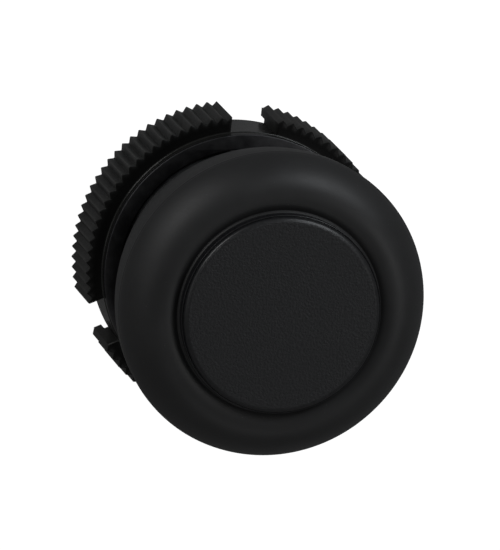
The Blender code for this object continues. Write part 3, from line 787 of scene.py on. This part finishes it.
def cap_plastic():
    """Hard plastic with a fine spark-eroded grain, rubbed smoother along its edge."""
    s = Shader("cap_plastic")
    grain = s.noise(0.30, 2.5, 0.55)
    fine = s.noise(0.12, 2.0, 0.5)
    cloud = s.noise(5.0, 3.0, 0.5)
    edge = s.spread(s.radius(), CAP_WALL - 0.6, CAP_WALL - 0.3, 0.0, 1.0)
    inner = s.math("SUBTRACT", 1.0, edge)
    colour = s.mix(s.spread(grain, 0.35, 0.65, 0.0, 1.0),
                   (0.0060, 0.0064, 0.0076), (0.0125, 0.0130, 0.0145))
    colour = s.mix(s.math("MULTIPLY", s.specks(0.05, 0.02), 0.5), colour, (0.16, 0.16, 0.17))
    rough = s.math("SUBTRACT", s.spread(cloud, 0.3, 0.7, 0.46, 0.54), s.math("MULTIPLY", edge, 0.14))
    s.bump((s.math("MULTIPLY", grain, inner), 0.120), (s.math("MULTIPLY", fine, inner), 0.030))
    return s.set(colour=colour, rough=rough, gloss=0.5)


def nut_nylon():
    """Moulded nylon: a glossy hub, duller teeth with paler tips, and a matt front on the sectors, coloured
    darker there as painted shade.
    """
    s = Shader("nut_nylon")
    radius = s.radius()
    hub = s.spread(radius, HUB_RADIUS + 0.05, HUB_RADIUS + 0.15, 1.0, 0.0)
    tip = s.spread(radius, TOOTH_TIP - 0.16, TOOTH_TIP, 0.0, 1.0)
    ahead = s.spread(s.height(), TOOTH_FRONT - 0.15, TOOTH_FRONT - 0.03, 0.0, 1.0)
    # this mask lowers the gloss on the sectors' front and also carries the painted shade on that face
    matt = s.math("MULTIPLY", ahead, s.math("SUBTRACT", 1.0, hub))
    grain = s.noise(0.30, 3.0, 0.6)
    cloud = s.noise(3.0, 3.0, 0.6)
    colour = s.mix(s.spread(cloud, 0.3, 0.7, 0.0, 1.0),
                   (0.0095, 0.0098, 0.0092), (0.0150, 0.0152, 0.0142))
    worn = s.math("MULTIPLY", tip, s.spread(grain, 0.35, 0.7, 0.2, 0.9))
    colour = s.mix(worn, colour, (0.050, 0.050, 0.047))
    # painted shade: the sectors' front face is given a near-black colour, darker than the rest of the nylon
    colour = s.mix(matt, colour, (0.0035, 0.0035, 0.0034))
    colour = s.mix(s.math("MULTIPLY", s.specks(0.07, 0.04), 0.5), colour, (0.17, 0.165, 0.15))
    dull = s.spread(grain, 0.3, 0.7, 0.36, 0.46)
    rough = s.math("SUBTRACT", dull, s.math("MULTIPLY", hub, 0.18))
    s.bump((s.math("MULTIPLY", grain, s.spread(hub, 0.0, 1.0, 1.0, 0.15)), 0.012), (cloud, 0.02))
    return s.set(colour=colour, rough=rough, gloss=s.spread(matt, 0.0, 1.0, 0.5, 0.18))


def sleeve_nylon():
    """Glass-filled nylon: dark grey, with short pale fibres under a satin skin."""
    s = Shader("sleeve_nylon")
    fibres = s.noise(0.5, 4.0, 0.7, stretch=(1.0, 1.0, 0.22))
    cloud = s.noise(4.0, 3.0, 0.5)
    colour = s.mix(s.spread(fibres, 0.42, 0.72, 0.0, 1.0),
                   (0.012, 0.0125, 0.0135), (0.034, 0.035, 0.037))
    rough = s.spread(cloud, 0.3, 0.7, 0.34, 0.5)
    s.bump((fibres, 0.008), (cloud, 0.02))
    return s.set(colour=colour, rough=rough, gloss=0.5)


def acetal():
    """Natural acetal: waxy white, a little translucent, with faint flow marks."""
    s = Shader("acetal")
    flow = s.noise(6.0, 3.0, 0.5, stretch=(1.0, 1.0, 0.4))
    fine = s.noise(0.3, 3.0, 0.6)
    colour = s.mix(s.spread(flow, 0.3, 0.7, 0.0, 1.0), (0.62, 0.61, 0.57), (0.70, 0.69, 0.655))
    s.bump((fine, 0.004), (flow, 0.02))
    s.out.inputs["Subsurface Radius"].default_value = (0.0006, 0.0005, 0.0004)
    return s.set(colour=colour, rough=s.spread(fine, 0.3, 0.7, 0.26, 0.36), skin=0.15)


def seal_rubber():
    """Matt black rubber with a talc-like bloom."""
    s = Shader("seal_rubber")
    bloom = s.noise(1.8, 4.0, 0.65)
    fine = s.noise(0.15, 3.0, 0.6)
    colour = s.mix(s.spread(bloom, 0.45, 0.8, 0.0, 1.0), (0.010, 0.010, 0.010), (0.030, 0.030, 0.029))
    s.bump((fine, 0.006))
    return s.set(colour=colour, rough=s.spread(bloom, 0.3, 0.7, 0.6, 0.75))


def turned_steel(name, colour_one, colour_two, rough_low, rough_high):
    """Bright metal with fine marks that run round the axis, and a patchy finish."""
    s = Shader(name)
    rings = s.add("ShaderNodeCombineXYZ")
    s.put(rings.inputs[0], s.math("MULTIPLY", s.radius(), 0.001))
    s.put(rings.inputs[1], s.math("MULTIPLY", s.height(), 0.001))
    marks = s.noise(0.05, 3.0, 0.6, vector=rings.outputs[0])
    patch = s.noise(2.2, 4.0, 0.6)
    colour = s.mix(s.spread(patch, 0.35, 0.7, 0.0, 1.0), colour_one, colour_two)
    rough = s.math("ADD", s.spread(patch, 0.3, 0.7, rough_low, rough_high),
                   s.spread(marks, 0.3, 0.7, -0.05, 0.05))
    s.bump((marks, 0.002), (s.noise(0.4, 3.0), 0.003))
    return s.set(colour=colour, rough=rough, metal=1.0)


# ---------------------------------------------------------------- the pieces

def dress(obj, node, body, material):
    """Give a piece its material and its body, and hide the CAD node that it stands for."""
    obj.data.materials.clear()
    obj.data.materials.append(material)
    if obj.parent is None and "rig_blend" not in obj:
        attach(obj, body)
    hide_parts(node)
    return obj


rubber = boot_rubber()
cap_look = cap_plastic()
nut_look = nut_nylon()
sleeve_look = sleeve_nylon()
acetal_look = acetal()
seal_look = seal_rubber()
zinc = turned_steel("zinc_steel", (0.60, 0.60, 0.62), (0.50, 0.51, 0.53), 0.26, 0.38)
black = turned_steel("black_steel", (0.060, 0.060, 0.063), (0.085, 0.085, 0.088), 0.34, 0.48)
bright = turned_steel("spring_steel", (0.42, 0.41, 0.40), (0.33, 0.32, 0.31), 0.22, 0.34)

boot = lathe("boot_skin", boot_profile(), 256, 60)
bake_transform(boot, "body", "button", start=(0, 0, BOOT_FOLD_START * MM),
         end=(0, 0, BOOT_FOLD_END * MM))
dress(boot, "boot", None, rubber)
dress(lathe("textured_cap", press_cap_profile(), 256), "press_cap", "button", cap_look)
dress(lathe("plunger_body", plunger_profile()), "plunger", "button", acetal_look)
dress(lathe("actuator_plug", pad_profile(), 128), "actuator_pad", "button", nut_look)
dress(lathe("clamp_ring", ring_profile(9.7, CLAMP_RADIUS, CLAMP_REAR, CLAMP_FRONT, 0.2)),
      "bead_clamp_ring", "button", zinc)
dress(make_screw(), "cap_screw", "button", zinc)
cord = (SEAL_FRONT - SEAL_REAR) / 2
seal_loop = arc((SEAL_RADIUS - cord, (SEAL_FRONT + SEAL_REAR) / 2), (cord, cord), 0.0, -2 * pi, 24)[:-1]
dress(lathe("o_ring", seal_loop), "plunger_seal", "button", seal_look)
dress(plate("stem_clip", clip_outline(), [], CLIP_REAR, CLIP_FRONT, 0.08),
      "plunger_clip", "button", bright)

dress(make_sleeve(), "body_sleeve", "body", sleeve_look)
dress(lathe("ribbed_gasket", gasket_profile()), "panel_gasket", "body", seal_look)
dress(lathe("bumper_ring", ring_profile(11.5, BUMPER_RADIUS, BUMPER_REAR, BUMPER_FRONT, 0.35)),
      "stop_bumper", "body", seal_look)
dress(lathe("guide_bush", guide_profile()), "rear_guide_bush", "body", acetal_look)
ring_outline, ring_holes = retaining_ring_outline()
dress(plate("eared_ring", ring_outline, ring_holes, RING_REAR, RING_FRONT, 0.08),
      "retaining_ring", "body", bright)
seat_profile = ring_profile(7.45, SPRING_SEAT_RADIUS, SPRING_SEAT_REAR, SPRING_SEAT_FRONT, 0.12)
dress(lathe("spring_seat", seat_profile), "spring_washer", "body", zinc)
spring = make_spring()
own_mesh(spring)
dress(spring, "return_spring", "body", bright)

washer_edge, washer_bore = washer_outlines()
dress(plate("keyed_washer", washer_edge, [washer_bore], WASHER_REAR, WASHER_FRONT, 0.1),
      "nut_washer", "washer", black)
dress(make_ring_nut(), "ring_nut", "nut", nut_look)


# ---------------------------------------------------------------- floor, light and camera

def make_floor():
    """A white floor that shows almost no shadow, like a lit table."""
    bpy.ops.mesh.primitive_plane_add(size=FLOOR_SIZE, location=(0, 0, -FLOOR_DROP))
    floor = bpy.context.active_object
    floor.name = "floor"
    material = bpy.data.materials.new("floor_white")
    material.use_nodes = True
    nodes, links = material.node_tree.nodes, material.node_tree.links
    nodes.clear()
    out = nodes.new("ShaderNodeOutputMaterial")
    camera_ray = nodes.new("ShaderNodeLightPath").outputs["Is Camera Ray"]
    glow = nodes.new("ShaderNodeEmission")
    strength = nodes.new("ShaderNodeMapRange")
    links.new(camera_ray, strength.inputs["Value"])
    strength.inputs["To Min"].default_value = FLOOR_BOUNCE
    strength.inputs["To Max"].default_value = FLOOR_SEEN
    links.new(strength.outputs["Result"], glow.inputs["Strength"])
    matt = nodes.new("ShaderNodeBsdfDiffuse")
    matt.inputs["Color"].default_value = FLOOR_GREY
    total = nodes.new("ShaderNodeAddShader")
    links.new(glow.outputs[0], total.inputs[0])
    links.new(matt.outputs[0], total.inputs[1])
    links.new(total.outputs[0], out.inputs["Surface"])
    floor.data.materials.append(material)


def make_world():
    """White behind the object, and a dim room in reflections."""
    world = bpy.data.worlds.new("studio")
    bpy.context.scene.world = world
    world.use_nodes = True
    nodes, links = world.node_tree.nodes, world.node_tree.links
    back = nodes["Background"]
    camera_ray = nodes.new("ShaderNodeLightPath").outputs["Is Camera Ray"]
    strength = nodes.new("ShaderNodeMapRange")
    links.new(camera_ray, strength.inputs["Value"])
    strength.inputs["To Min"].default_value = ROOM_GLOW
    strength.inputs["To Max"].default_value = ROOM_SEEN
    links.new(strength.outputs["Result"], back.inputs["Strength"])
    back.inputs["Color"].default_value = WHITE


def softbox(name, off_axis, around, width, height, power, colour=(1.0, 1.0, 1.0)):
    """A rectangular light, placed by its angle off the camera's axis and its angle round it.

    Both are in degrees. The second one runs from the picture's right towards its top.
    """
    light = bpy.data.lights.new(name, "AREA")
    light.shape = "RECTANGLE"
    light.size = width
    light.size_y = height
    light.energy = power
    light.color = colour
    obj = bpy.data.objects.new(name, light)
    bpy.context.scene.collection.objects.link(obj)
    turn = radians(around)
    sideways = VIEW_RIGHT * cos(turn) + VIEW_UP * sin(turn)
    direction = VIEW_BACK * cos(radians(off_axis)) + sideways * sin(radians(off_axis))
    place = LIGHT_TARGET + direction * LIGHT_DISTANCE
    across = sideways.cross(direction)
    turned = Matrix((across, direction.cross(across), direction)).transposed().to_4x4()
    obj.matrix_world = Matrix.Translation(place) @ turned


def make_camera():
    """A long lens in front and above, whose up direction is square to the part's X axis."""
    camera = bpy.data.objects.new("camera", bpy.data.cameras.new("camera"))
    camera.data.lens = CAMERA_LENS
    camera.data.sensor_width = CAMERA_SENSOR
    camera.data.clip_end = CAMERA_REACH
    boot_middle = Vector((0, 0, BOOT_PART * MM))
    shift = VIEW_UP * CAMERA_SHIFT_UP - VIEW_RIGHT * CAMERA_SHIFT_LEFT
    turned = Matrix((VIEW_RIGHT, VIEW_UP, VIEW_BACK)).transposed().to_4x4()
    place = boot_middle + VIEW_BACK * CAMERA_DISTANCE + shift
    camera.matrix_world = Matrix.Translation(place) @ turned
    bpy.context.scene.collection.objects.link(camera)
    bpy.context.scene.camera = camera


make_floor()
make_world()
softbox("upper_left_box", 50, 135, 0.65, 0.40, 1.60)
softbox("left_box", 50, 185, 0.40, 0.40, 0.20)
softbox("upper_right_box", 60, 40, 0.80, 0.55, 2.0, COOL)
softbox("right_box", 55, 345, 0.55, 0.55, 0.62)
softbox("lower_box", 60, 285, 0.65, 0.40, 0.22)
softbox("rear_right_box", 95, 50, 0.60, 0.40, 1.0, COOL)
make_camera()
bpy.context.scene.view_settings.view_transform = "Standard"
